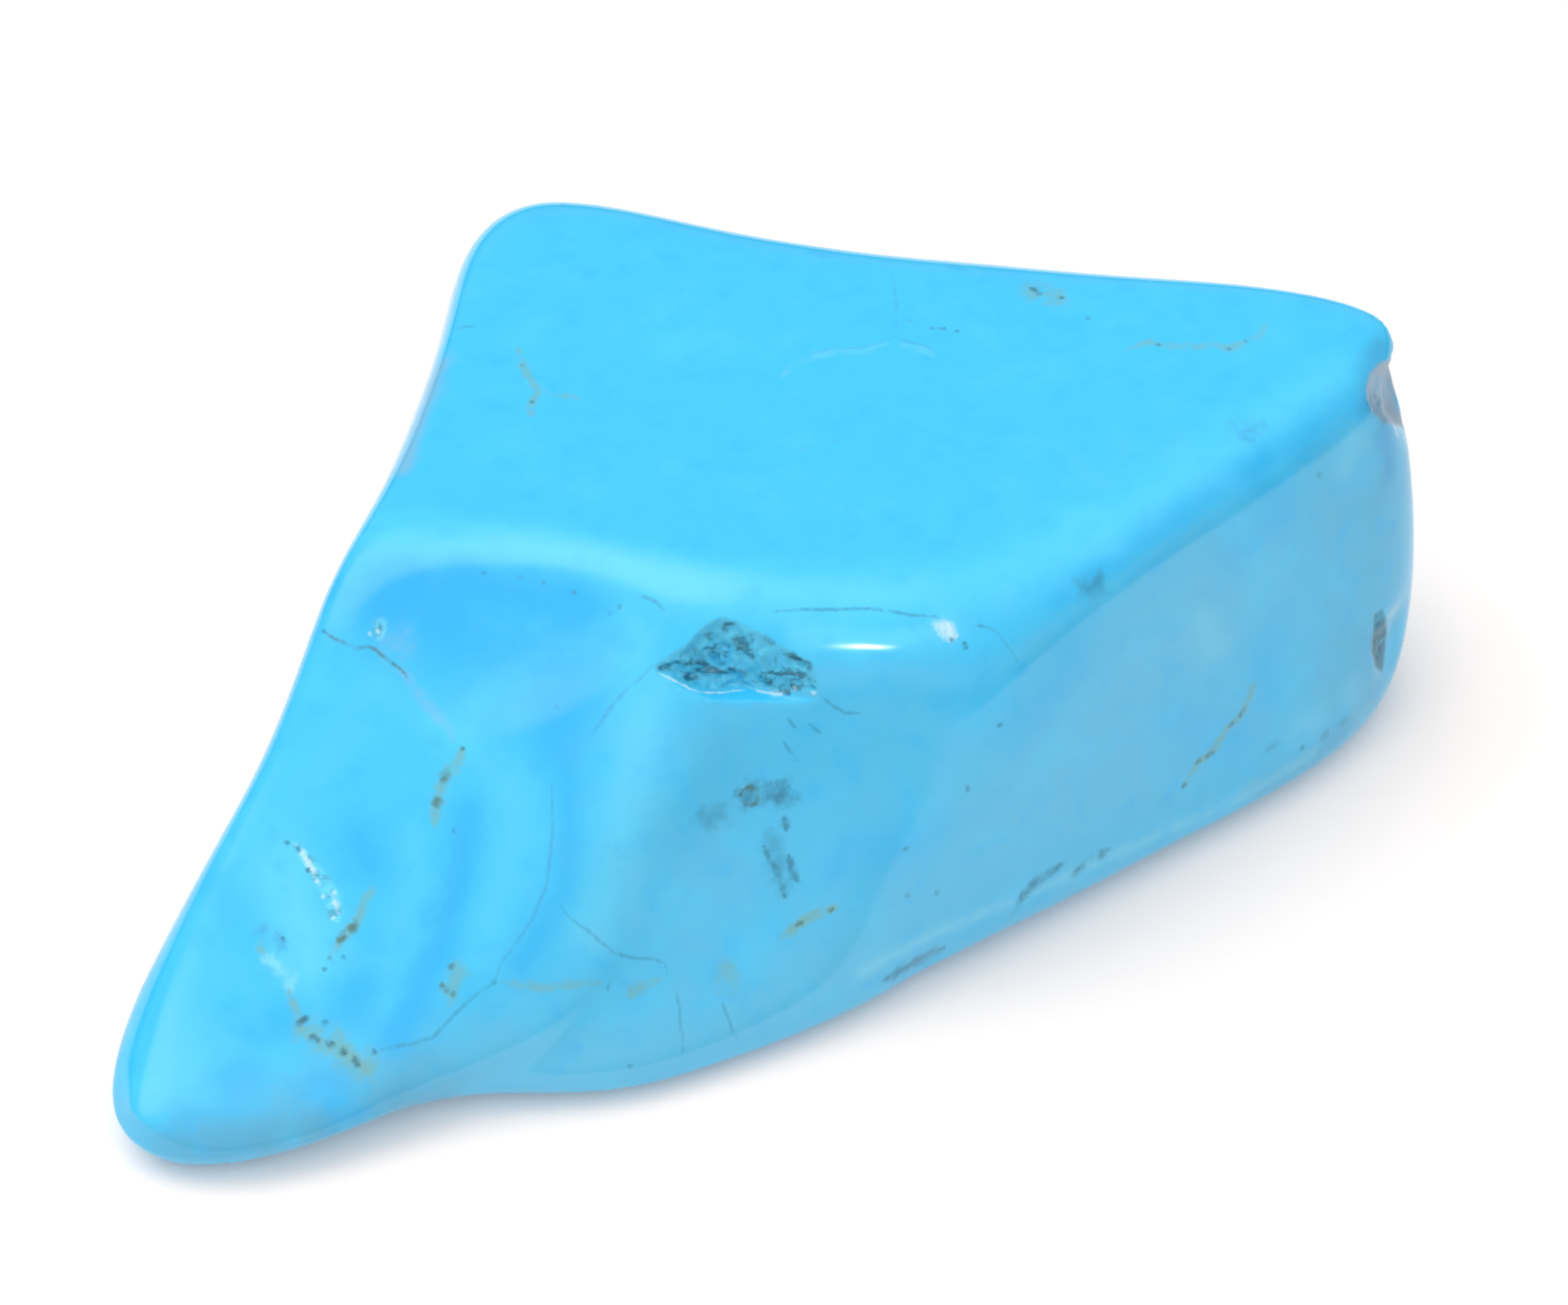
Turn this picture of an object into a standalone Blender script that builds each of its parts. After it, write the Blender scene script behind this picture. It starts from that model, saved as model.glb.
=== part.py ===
"""A tumbled and polished turquoise nugget, one solid lump of stone.

The nugget lies on its ground-flat sole with its long axis along X and its low tip at -X.
It is lofted along that axis: each station is one section of the stone, given by its two top rims and
its two heels, and a subdivision surface rounds the loft.  Flats are then ground on the hidden sides,
hollows are pressed in, and the broken ledge is cut out of the ridge below the top face.
"""
import math
from typing import NamedTuple

import bmesh
import bpy
from mathutils import Vector, noise
from mathutils.bvhtree import BVHTree

MM = 0.001

# Driving dimensions, in millimetres.
HEEL_HEIGHT = 0.9       # where the sides are widest, just above the sole
HEEL_SHARE = 0.45       # where the rim is low, the heel lies at this share of its height
SOLE_INSET = 0.8        # how far the sole's edge lies inside the heel
SOLE_CUT = 0.12         # how much of the rounded underside is ground away flat
ROUNDING_LEVELS = 2     # how often the loft is subdivided
TIP_ROUNDING = 2.4      # how far the rounding of the tip reaches along the stone
BLUNT_ROUNDING = 0.8    # the same for the blunt end
END_TURNS = 30          # how often the two ends are smoothed
UNEVEN_HEIGHT = 0.10    # how far the polished faces swell and dip
UNEVEN_SPACING = 5.0    # how far apart the swells lie

# Where the points of a section lie between its driving points, as shares of the way.
SIDE_SHARES = (0.33, 0.67)
TOP_SHARES = (0.25, 0.50, 0.75)
SIDE_COUNT = 3 + len(SIDE_SHARES)
TOP_COUNT = 2 + len(TOP_SHARES)


class Station(NamedTuple):
    """One section of the stone, from its front side over the top to its back side (mm)."""
    rim_front: tuple        # where the top meets the front side
    rim_back: tuple         # where the top meets the back side
    heel_front: tuple       # where the front side is widest, seen from above
    heel_back: tuple
    round_front: float      # how far the rounding of the rim reaches down and in
    round_back: float
    bulge_front: float = 0.0    # how far the side swells out between heel and rim
    bulge_back: float = 0.4
    crown: float = 0.1          # how far the top swells up between the rims


STATIONS = [
    Station((-18.5, -6.1, 1.5), (-18.7, -4.8, 1.7), (-18.4, -6.1), (-18.7, -4.9), 0.5, 0.5),
    Station((-17.3, -7.2, 1.6), (-18.2, -3.7, 2.4), (-17.1, -7.0), (-17.9, -3.7), 0.7, 0.8),
    Station((-14.8, -8.2, 1.6), (-16.8, -2.7, 3.2), (-14.8, -7.6), (-16.8, -2.6), 0.8, 0.7),
    Station((-12.1, -8.5, 1.8), (-15.3, -2.0, 4.4), (-12.2, -7.7), (-15.6, -1.6), 0.9, 0.6),
    Station((-9.7, -8.4, 2.9), (-13.6, -1.2, 5.7), (-10.3, -8.4), (-14.0, -0.4), 1.2, 0.5, 0.0, 0.3, 0.2),
    Station((-7.0, -8.3, 4.6), (-11.9, -0.5, 7.0), (-8.4, -9.7), (-12.3, 0.5), 1.4, 0.5, -0.1, 0.3, 0.3),
    Station((-4.4, -7.0, 6.9), (-10.3, 0.5, 8.5), (-6.9, -10.4), (-10.7, 1.6), 1.3, 0.4, -0.4, 0.2, 0.3),
    Station((-2.6, -6.2, 8.6), (-8.7, 1.6, 9.9), (-5.2, -10.7), (-9.2, 2.7), 0.9, 0.4, -0.5, 0.2, 0.2),
    Station((-0.9, -5.8, 10.2), (-7.0, 2.9, 10.1), (-3.4, -10.8), (-7.6, 4.2), 1.3, 0.4, -0.3, 0.4),
    Station((1.1, -7.6, 10.4), (-4.3, 5.1, 10.1), (-1.0, -10.9), (-5.1, 6.4), 1.9, 0.4, 0.0, 0.6),
    Station((3.2, -9.6, 10.4), (-1.6, 8.0, 10.1), (2.0, -10.7), (-2.3, 8.9), 2.1, 0.4, 0.1, 0.3),
    Station((6.0, -9.3, 10.4), (0.6, 11.4, 10.1), (5.4, -10.4), (0.4, 12.0), 1.3, 0.7),
    Station((9.0, -8.5, 10.4), (3.2, 12.7, 10.2), (8.8, -10.2), (3.9, 13.1), 0.9, 1.0),
    Station((10.9, -8.1, 10.4), (6.0, 8.5, 10.2), (10.6, -10.1), (7.4, 9.5), 0.9, 1.0, 0.0, 0.2),
    Station((13.0, -7.6, 10.4), (9.5, 4.7, 10.3), (12.8, -9.9), (11.0, 6.0), 0.9, 1.0, 0.0, 0.0),
    Station((15.4, -7.0, 10.4), (13.8, 1.4, 10.3), (14.9, -9.5), (15.2, 2.4), 0.9, 1.0, 0.0, 0.2),
    Station((17.7, -6.3, 10.2), (18.0, -2.1, 10.3), (16.9, -8.6), (18.3, -1.7), 0.8, 0.8, 0.4),
    Station((18.7, -5.5, 9.8), (19.3, -3.9, 9.9), (18.5, -6.9), (19.1, -4.2), 0.7, 0.7, 0.4, 0.2),
]


class Flat(NamedTuple):
    """A plane that the stone was ground down to (mm)."""
    place: tuple
    facing: tuple           # out of the stone
    softness: float         # how far the rounding of the flat's border reaches


FLATS = {
    "under_back_side": Flat((10.8, 5.8, 1.6), (0.58, 0.60, -0.55), 0.5),
    "under_left_side": Flat((-5.0, 7.0, 1.7), (-0.42, 0.68, -0.60), 0.5),
    "right_end_low": Flat((18.2, -4.0, 2.6), (0.86, 0.30, -0.42), 0.5),
}


class Hollow(NamedTuple):
    """The mark that a ball leaves when it is pressed square into the stone (mm)."""
    place: tuple            # the stone's nearest point is the middle of the hollow
    radius: float
    depth: float
    softness: float         # how far the rounding of the hollow's border reaches


HOLLOWS = {
    "back_side": Hollow((9.6, 6.2, 6.0), 13.0, 0.45, 0.15),
    "left_side": Hollow((-8.8, 3.2, 4.5), 10.0, 0.35, 0.15),
    "front_facet": Hollow((-3.6, -8.2, 5.0), 16.0, 0.05, 0.30),
    "scoop_under_brow": Hollow((-5.9, -2.1, 9.0), 16.0, 0.45, 0.03),
    "groove_on_slope": Hollow((-10.6, -6.1, 4.0), 6.0, 0.12, 0.05),
    "notch_right_end": Hollow((18.5, -5.9, 8.7), 1.3, 0.60, 0.05),
    "recess_right_end": Hollow((16.9, -8.2, 2.7), 1.4, 0.42, 0.05),
    "chip_front_heel": Hollow((1.2, -10.8, 1.0), 1.5, 0.22, 0.05),
}


class Chip(NamedTuple):
    """A piece broken out of the surface (mm)."""
    corners: tuple          # its outline on the stone, anticlockwise from outside
    walls: tuple            # how far the wall from each corner to the next slopes in
    depth: float


CHIPS = {
    "ledge_on_ridge": Chip(
        ((-3.4, -5.0, 8.8), (-2.4, -6.1, 8.3), (0.0, -7.5, 8.2), (-1.4, -5.0, 9.8)),
        (0.3, 0.3, 0.9, 0.7), 0.5),
}
CHIP_BORDER = 0.3       # how far around a chip's outline the finer mesh reaches
NEAR_CHIP = 2.0         # how far from a chip's plane the stone's surface may lie there


def toward(start, end, distance):
    """The point at the given distance from start on the way to end, at most halfway."""
    return start.lerp(end, min(0.5, distance / (end - start).length))


def inward_normals():
    """For each station's front and back heel, the level direction that points into the stone."""
    outline = [Vector((*station.heel_front, 0.0)) for station in STATIONS]
    outline += [Vector((*station.heel_back, 0.0)) for station in reversed(STATIONS)]
    normals = []
    for index in range(len(outline)):
        along = outline[(index + 1) % len(outline)] - outline[index - 1]
        normals.append(Vector((-along.y, along.x, 0.0)).normalized())
    count = len(STATIONS)
    return list(zip(normals[:count], reversed(normals[count:])))


def side_points(rim, heel, inward, rounding, bulge):
    """The points of one side, from the sole up to the start of the rim's rounding."""
    sole = Vector((heel.x, heel.y, 0.0)) + inward * min(SOLE_INSET, heel.z)
    rim_start = toward(rim, heel, rounding)
    wall = [heel.lerp(rim_start, share) - inward * bulge for share in SIDE_SHARES]
    return [sole, heel, *wall, rim_start]


def top_points(station, rim_front, rim_back):
    """The points across the top, between the ends of the two rims' roundings."""
    front = toward(rim_front, rim_back, station.round_front)
    back = toward(rim_back, rim_front, station.round_back)
    points = [front]
    for share in TOP_SHARES:
        rise = station.crown * (1.0 - (2.0 * share - 1.0) ** 2)
        points.append(front.lerp(back, share) + Vector((0.0, 0.0, rise)))
    return points + [back]


def section_points(station, inward_front, inward_back):
    """The closed ring of one station, front side first, then the top, the back side and the sole."""
    rim_front = Vector(station.rim_front)
    rim_back = Vector(station.rim_back)
    heel_front = Vector((*station.heel_front, min(HEEL_HEIGHT, rim_front.z * HEEL_SHARE)))
    heel_back = Vector((*station.heel_back, min(HEEL_HEIGHT, rim_back.z * HEEL_SHARE)))
    front = side_points(rim_front, heel_front, inward_front, station.round_front, station.bulge_front)
    back = side_points(rim_back, heel_back, inward_back, station.round_back, station.bulge_back)
    sole = [back[0].lerp(front[0], share) for share in SIDE_SHARES]
    return front + top_points(station, rim_front, rim_back) + back[::-1] + sole


def cap_faces(ring):
    """Close the end of the loft: level by level, each front point is joined to its back point."""
    front = ring[:SIDE_COUNT]
    crest = ring[SIDE_COUNT:SIDE_COUNT + TOP_COUNT]
    back = ring[SIDE_COUNT + TOP_COUNT:2 * SIDE_COUNT + TOP_COUNT][::-1]
    sole = ring[2 * SIDE_COUNT + TOP_COUNT:]
    faces = [[front[-1], *crest, back[-1]], [front[0], back[0], *sole]]
    for level in range(SIDE_COUNT - 1):
        faces.append([front[level], front[level + 1], back[level + 1], back[level]])
    return faces


def loft_mesh():
    """The coarse loft through all stations, as a bmesh in metres."""
    bm = bmesh.new()
    rings = []
    for station, inward in zip(STATIONS, inward_normals()):
        rings.append([bm.verts.new(point * MM) for point in section_points(station, *inward)])
    for ring, following in zip(rings, rings[1:]):
        for index, vertex in enumerate(ring):
            after = (index + 1) % len(ring)
            bm.faces.new((vertex, ring[after], following[after], following[index]))
    for ring in (rings[0], rings[-1]):
        for face in cap_faces(ring):
            bm.faces.new(face)
    bmesh.ops.recalc_face_normals(bm, faces=bm.faces)
    return bm


def rounded(bm):
    """The subdivision surface of a coarse bmesh, as a new bmesh."""
    mesh = bpy.data.meshes.new("loft")
    bm.to_mesh(mesh)
    bm.free()
    source = bpy.data.objects.new("loft", mesh)
    bpy.context.collection.objects.link(source)
    rounding = source.modifiers.new("rounding", "SUBSURF")
    rounding.levels = ROUNDING_LEVELS
    rounding.render_levels = ROUNDING_LEVELS
    evaluated = source.evaluated_get(bpy.context.evaluated_depsgraph_get())
    result = bmesh.new()
    result.from_mesh(evaluated.to_mesh())
    evaluated.to_mesh_clear()
    bpy.data.objects.remove(source)
    bpy.data.meshes.remove(mesh)
    return result


def tumble_ends(bm):
    """Round the loft's two ends, which are too small for the subdivision surface to round."""
    tip = min(vertex.co.x for vertex in bm.verts)
    blunt = max(vertex.co.x for vertex in bm.verts)
    for turn in range(END_TURNS):
        fading = MM * (1.0 - turn / END_TURNS)
        tip_limit = tip + TIP_ROUNDING * fading
        blunt_limit = blunt - BLUNT_ROUNDING * fading
        ends = [vertex for vertex in bm.verts if not tip_limit < vertex.co.x < blunt_limit]
        bmesh.ops.smooth_vert(
            bm, verts=ends, factor=0.5, use_axis_x=True, use_axis_y=True, use_axis_z=True)


def soft_push(reach, softness):
    """How far to push a vertex that lies reach beyond a tool's face, rounding the cut's border."""
    return 0.5 * (reach + math.hypot(reach, softness))


def grind_flats(bm):
    """Push the vertices that stand out of a flat back to it."""
    for flat in FLATS.values():
        facing = Vector(flat.facing).normalized()
        for vertex in bm.verts:
            reach = (vertex.co / MM - Vector(flat.place)).dot(facing)
            vertex.co -= facing * soft_push(reach, flat.softness) * MM


def make_uneven(bm):
    """Let the polished faces swell and dip a little, as hand-ground ones do."""
    bm.normal_update()
    shifts = []
    for vertex in bm.verts:
        swell = noise.noise(vertex.co / (UNEVEN_SPACING * MM))
        shifts.append(vertex.normal * swell * UNEVEN_HEIGHT * MM)
    for vertex, shift in zip(bm.verts, shifts):
        vertex.co += shift


def press_hollows(bm):
    """Push the vertices that a hollow's ball reaches out of that ball."""
    for hollow in HOLLOWS.values():
        surface = BVHTree.FromBMesh(bm)
        middle, facing, _, _ = surface.find_nearest(Vector(hollow.place) * MM)
        centre = middle / MM + facing * (hollow.radius - hollow.depth)
        for vertex in bm.verts:
            away = vertex.co / MM - centre
            if away.dot(facing) < 0.0:
                push = soft_push(hollow.radius - away.length, hollow.softness)
                vertex.co += away.normalized() * push * MM


def sides(corners, facing):
    """For each side of a chip's outline, its first corner and the direction into the chip."""
    following = corners[1:] + corners[:1]
    return [
        (corner, facing.cross(after - corner).normalized())
        for corner, after in zip(corners, following)]


def faces_near(bm, corners, facing):
    """The faces that lie in the chip's outline or just around it."""
    near = []
    for face in bm.faces:
        middle = face.calc_center_median() / MM
        reach = min((middle - corner).dot(inward) for corner, inward in sides(corners, facing))
        if reach > -CHIP_BORDER and abs((middle - corners[0]).dot(facing)) < NEAR_CHIP:
            near.append(face)
    return near


def refine(bm, corners, facing, walls):
    """Make the mesh finer around a chip; score the chip's outline and its walls' feet into it."""
    edges = {edge for face in faces_near(bm, corners, facing) for edge in face.edges}
    bmesh.ops.subdivide_edges(bm, edges=list(edges), cuts=1, use_grid_fill=True)
    for (corner, inward), wall in zip(sides(corners, facing), walls):
        for distance in (0.0, wall):
            faces = faces_near(bm, corners, facing)
            edges = {edge for face in faces for edge in face.edges}
            points = {vertex for face in faces for vertex in face.verts}
            bmesh.ops.bisect_plane(
                bm, geom=[*points, *edges, *faces], plane_co=(corner + inward * distance) * MM,
                plane_no=inward)


def cut_chips(bm):
    """Break the chips out of the surface."""
    for chip in CHIPS.values():
        corners = [Vector(corner) for corner in chip.corners]
        facing = (corners[1] - corners[0]).cross(corners[-1] - corners[0]).normalized()
        refine(bm, corners, facing, chip.walls)
        for vertex in {vertex for face in faces_near(bm, corners, facing) for vertex in face.verts}:
            point = vertex.co / MM
            share = min(
                (point - corner).dot(inward) / wall
                for (corner, inward), wall in zip(sides(corners, facing), chip.walls))
            vertex.co -= facing * chip.depth * min(1.0, max(0.0, share)) * MM


def grind_sole(bm):
    """Cut the rounded underside off flat, leave it at z = 0 and close it with one face."""
    everything = bm.verts[:] + bm.edges[:] + bm.faces[:]
    cut = bmesh.ops.bisect_plane(
        bm, geom=everything, plane_co=(0.0, 0.0, SOLE_CUT * MM), plane_no=(0.0, 0.0, -1.0),
        clear_outer=True)
    rim = [item for item in cut["geom_cut"] if isinstance(item, bmesh.types.BMEdge)]
    bmesh.ops.contextual_create(bm, geom=rim)
    bmesh.ops.translate(bm, verts=bm.verts[:], vec=(0.0, 0.0, -SOLE_CUT * MM))


def centre_on_origin(bm):
    """Put the middle of the stone's outline on the origin; the sole stays at z = 0."""
    for axis in (0, 1):
        places = [vertex.co[axis] for vertex in bm.verts]
        shift = Vector()
        shift[axis] = -0.5 * (min(places) + max(places))
        bmesh.ops.translate(bm, verts=bm.verts[:], vec=shift)


def turquoise():
    """The stone's plain material."""
    material = bpy.data.materials.new("turquoise")
    material.use_nodes = True
    shader = material.node_tree.nodes["Principled BSDF"]
    shader.inputs["Base Color"].default_value = (0.09, 0.62, 0.92, 1.0)
    shader.inputs["Roughness"].default_value = 0.22
    shader.inputs["Metallic"].default_value = 0.0
    return material


def build():
    """Make the nugget's object."""
    for old in list(bpy.data.objects):
        bpy.data.objects.remove(old)
    bm = rounded(loft_mesh())
    tumble_ends(bm)
    grind_flats(bm)
    make_uneven(bm)
    press_hollows(bm)
    cut_chips(bm)
    grind_sole(bm)
    centre_on_origin(bm)
    mesh = bpy.data.meshes.new("nugget")
    bm.to_mesh(mesh)
    bm.free()
    mesh.shade_smooth()
    mesh.materials.append(turquoise())
    nugget = bpy.data.objects.new("nugget", mesh)
    bpy.context.collection.objects.link(nugget)


build()
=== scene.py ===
import math
from typing import NamedTuple

import bmesh
import bpy
import numpy as np
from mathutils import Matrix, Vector, noise
from mathutils.bvhtree import BVHTree
from mathutils.kdtree import KDTree


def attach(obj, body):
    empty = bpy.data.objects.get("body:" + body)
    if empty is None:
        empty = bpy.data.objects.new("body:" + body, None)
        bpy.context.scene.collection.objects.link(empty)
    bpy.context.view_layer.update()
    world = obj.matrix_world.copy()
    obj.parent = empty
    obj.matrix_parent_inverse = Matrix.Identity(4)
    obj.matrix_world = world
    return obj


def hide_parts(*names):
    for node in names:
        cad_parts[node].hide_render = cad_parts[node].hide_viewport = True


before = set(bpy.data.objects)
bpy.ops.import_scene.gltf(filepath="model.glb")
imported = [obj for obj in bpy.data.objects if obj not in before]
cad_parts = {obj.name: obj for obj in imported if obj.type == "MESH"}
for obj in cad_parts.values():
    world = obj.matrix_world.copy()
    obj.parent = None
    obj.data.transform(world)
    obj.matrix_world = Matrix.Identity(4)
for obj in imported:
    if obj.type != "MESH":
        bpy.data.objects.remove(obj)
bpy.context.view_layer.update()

# One tumbled turquoise nugget.  The CAD solid's own mesh is made smooth, its broken places are sunk
# into it, and its colours and marks are kept at its vertices, where one procedural material reads them.

MM = 0.001

# The camera, at the photograph's viewing angle.  Picture places below are pixels of the photograph.
PICTURE = (1600.0, 1332.0)              # pixels, across and down
CAMERA_AZIMUTH = math.radians(-32.0)
CAMERA_ELEVATION = math.radians(42.0)
CAMERA_DISTANCE = 200.0                 # mm, from the point it looks at
CAMERA_TARGET = (4.70, 1.15, 0.0)       # mm
CAMERA_LENS = 175.5                     # mm, on a sensor of SENSOR_WIDTH
SENSOR_WIDTH = 36.0                     # mm
CAMERA_NEAREST = 1.0                    # mm, how near it still sees
CAMERA_FARTHEST = 10000.0               # mm, how far it still sees
PIXEL = 0.0256                          # mm on the stone that one pixel shows

# The mesh.
WELD = 0.001                            # mm, vertices closer than this are one
QUAD_BEND = math.radians(40)            # triangles bent less than this become one quad
QUAD_SKEW = math.radians(60)            # where the quad is also skewed less than this
STONE_LEVELS = 2                        # how often the CAD mesh is subdivided
SOLE_HEIGHT = 0.02                      # mm, faces all below this are the flat sole
FINE_MARGIN = 0.06                      # mm around a fine mark in which the mesh is refined
FINE_EDGE = 0.09                        # mm, edges shorter than this are not cut
FINE_CUTS = 2                           # how often an edge is cut where the mesh is refined

# Colour and marks.
# Painted shade: surfaces that face sideways are painted the duller, darker side blue.
SIDE_LOW = 0.45                         # how far up a surface faces where it is wholly a side
SIDE_HIGH = 0.72                        # and where it is no side at all
ROUTE_STEP = 0.03                       # mm between the points that a route is followed by
WASH_REACH = 2.2                        # widths from its route at which a wash is taken to end
WASH_UNEVEN = 0.5                       # how uneven the fading of a wash is
WASH_PATCH = 0.9                        # mm, the size of the patches that make it uneven
LINE_END = 0.55                         # how wide a line is at its ends, as a share of its width
LINE_TAPER = 1.8                        # how fast it widens from there along its length
MARK_REACH = 2.5                        # widths from its middle within which a mark is looked for
MARK_EDGE = 0.85                        # widths from its middle at which it has half faded
NO_MARK = 9.0                           # a reach that lies outside every mark

# Broken places.
FAR_FADE = 4.0                          # how much more gently a break ends on the stone's far side
FAR_UNEVEN = 0.25                       # how uneven its end is there
FAR_PATCH = 0.6                         # mm, the size of the patches that make it uneven
SOFT_EDGE = 3.0                         # pixels over which a break's colour fades out
GRAIN = 0.16                            # mm, the size of the grains of a broken floor
GRAIN_FAINT = -0.9                      # the noise at which a grain shows the floor's paint least
GRAIN_FULL = 0.0                        # and from which it shows it in full
LEDGE_SLOPE = (0.9, -0.6, 1.3)          # the way from one ledge to the next
LEDGES_PER_MM = 2.2
LEDGE_HEIGHT = 0.6                      # as a share of what a break gives for its ledges
LEDGE_PATCHES_PER_MM = 2.3              # the ledges are higher in some patches than in others
LEDGE_BEND = 0.5                        # mm, how far the ledges bend
LEDGE_BENDS_PER_MM = 1.7
LUMP_HEIGHT = 0.9                       # the same for the lumps on them
LUMPS_PER_MM = 5.1

# The material.
NOISE_DETAIL = 3.0
RAGGED = 0.6                            # how rough the noise of ragged edges and specks is
# The dark specks are painted shade in the crevices of the broken floors.
SPECK_SIZE = 0.34                       # mm
SPECK_LENGTH = 2.6                      # how much longer than wide the specks are
SPECK_DIRECTION = math.radians(-32.0)   # which way they run, seen from above: along the brow
SPECK_START = 0.53                      # the noise at which a speck begins
SPECK_FULL = 0.66                       # and at which it is full
POLISHED_ROUGHNESS = 0.12
BROKEN_ROUGHNESS = 0.30                 # what a broken floor adds to it

# Floor and light.
FLOOR_SIDE = 700.0                      # mm
FLOOR_DEPTH = 0.01                      # mm, how far it lies below the stone
FLOOR_COLOUR = (0.95, 0.89, 0.86, 1.0)
FLOOR_ROUGHNESS = 0.7
GLOW_COLOUR = (1.0, 0.85, 0.75, 1.0)
FLOOR_GLOW = 0.12                       # how brightly the floor is lit from below, as a light table is
SKY_COLOUR = (1.0, 0.985, 0.985, 1.0)
SKY_HORIZON = 0.10                      # the sky's brightness at the horizon, beyond the pale floor
GLINT_AIM = (1.09, -8.45, 9.25)         # mm, the point of the brow that the small lamp lights
GLINT_FROM = (-0.364, -0.638, 0.679)    # the direction in which that lamp stands
GLINT_DISTANCE = 20.0                   # mm, how far away it stands
GLINT_BEAM = 1.35                       # mm, how wide a circle it lights, from middle to edge
GLINT_SIZE = 0.8                        # mm
GLINT_POWER = 0.0013                    # watts


# ---------------------------------------------------------------- camera and picture places

def make_camera():
    """The camera, at the viewing angle named above."""
    back = Vector((
        math.sin(CAMERA_AZIMUTH) * math.cos(CAMERA_ELEVATION),
        -math.cos(CAMERA_AZIMUTH) * math.cos(CAMERA_ELEVATION),
        math.sin(CAMERA_ELEVATION)))
    data = bpy.data.cameras.new("camera")
    data.lens = CAMERA_LENS
    data.sensor_width = SENSOR_WIDTH
    data.clip_start = CAMERA_NEAREST * MM
    data.clip_end = CAMERA_FARTHEST * MM
    camera = bpy.data.objects.new("camera", data)
    camera.location = (Vector(CAMERA_TARGET) + back * CAMERA_DISTANCE) * MM
    camera.rotation_euler = (-back).to_track_quat("-Z", "Y").to_euler()
    bpy.context.scene.collection.objects.link(camera)
    bpy.context.scene.camera = camera
    bpy.context.view_layer.update()
    return camera


camera = make_camera()
focal = CAMERA_LENS / SENSOR_WIDTH * PICTURE[0]


def picture_ray(x, y):
    """Where the line of sight through a picture place starts, and its direction."""
    across = (x - PICTURE[0] / 2) / focal
    down = (y - PICTURE[1] / 2) / focal
    direction = camera.matrix_world.to_3x3() @ Vector((across, -down, -1.0))
    return camera.matrix_world.translation, direction.normalized()


def picture_place(point):
    """The picture place at which a point of the scene is seen."""
    seen = camera.matrix_world.inverted() @ point
    return Vector((
        PICTURE[0] / 2 - focal * seen.x / seen.z,
        PICTURE[1] / 2 + focal * seen.y / seen.z))


# ---------------------------------------------------------------- what the stone carries

def linear(red, green, blue):
    """A colour as a screen shows it, 0 to 255, in the linear values that a shader takes."""
    shares = np.array((red, green, blue)) / 255.0
    return tuple(np.where(shares > 0.04045, ((shares + 0.055) / 1.055) ** 2.4, shares / 12.92))


def smoothstep(low, high, value):
    """A smooth rise from 0 to 1 as the value goes from low to high."""
    share = min(1.0, max(0.0, (value - low) / (high - low)))
    return share * share * (3.0 - 2.0 * share)


def uneven(place, amount, patch):
    """A factor around 1 that differs by up to the amount between patches of a size in mm."""
    return 1.0 + amount * noise.noise(place / (patch * MM))


# The first seven are blues in linear values: body is the stone's own, side and shade are painted shade,
# rich and milky are its own tones and also painted shade, clear and bright its own tones and also painted
# highlights. The others are as a screen shows them; white and pale also serve as painted highlights and
# reflections.
PAINTS = {
    "body": (0.038, 0.560, 0.940),
    "side": (0.078, 0.535, 0.860),
    "clear": (0.075, 0.640, 1.000),
    "bright": (0.120, 0.690, 1.000),
    "rich": (0.012, 0.455, 0.920),
    "milky": (0.125, 0.530, 0.800),
    "shade": (0.100, 0.400, 0.620),
    "tan": linear(122, 170, 150),
    "olive": linear(72, 108, 96),
    "dark": linear(14, 80, 104),
    "teal": linear(50, 128, 160),
    "blue": linear(60, 160, 215),
    "deep": linear(40, 180, 245),
    "lilac": linear(120, 188, 228),
    "pale": linear(150, 230, 250),
    "white": linear(225, 245, 245),
    # painted reflection: the grey-white of a grazing reflection
    "grey": linear(146, 174, 196),
    "pit": linear(74, 190, 226),
    # painted shade in the recess at the right end
    "pocket": linear(72, 128, 150),
}


class Mark(NamedTuple):
    """Veins, cracks, spots or washes of one kind, among them painted shade, highlights and reflections; a
    route of one place is a spot.
    """
    paint: str
    width: float            # mm from the middle of a line to its edge
    strength: float
    routes: tuple           # lines of picture places, or of places in mm on the hidden sides


def spots(*places):
    """A route of its own for each place."""
    return tuple((place,) for place in places)


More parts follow.
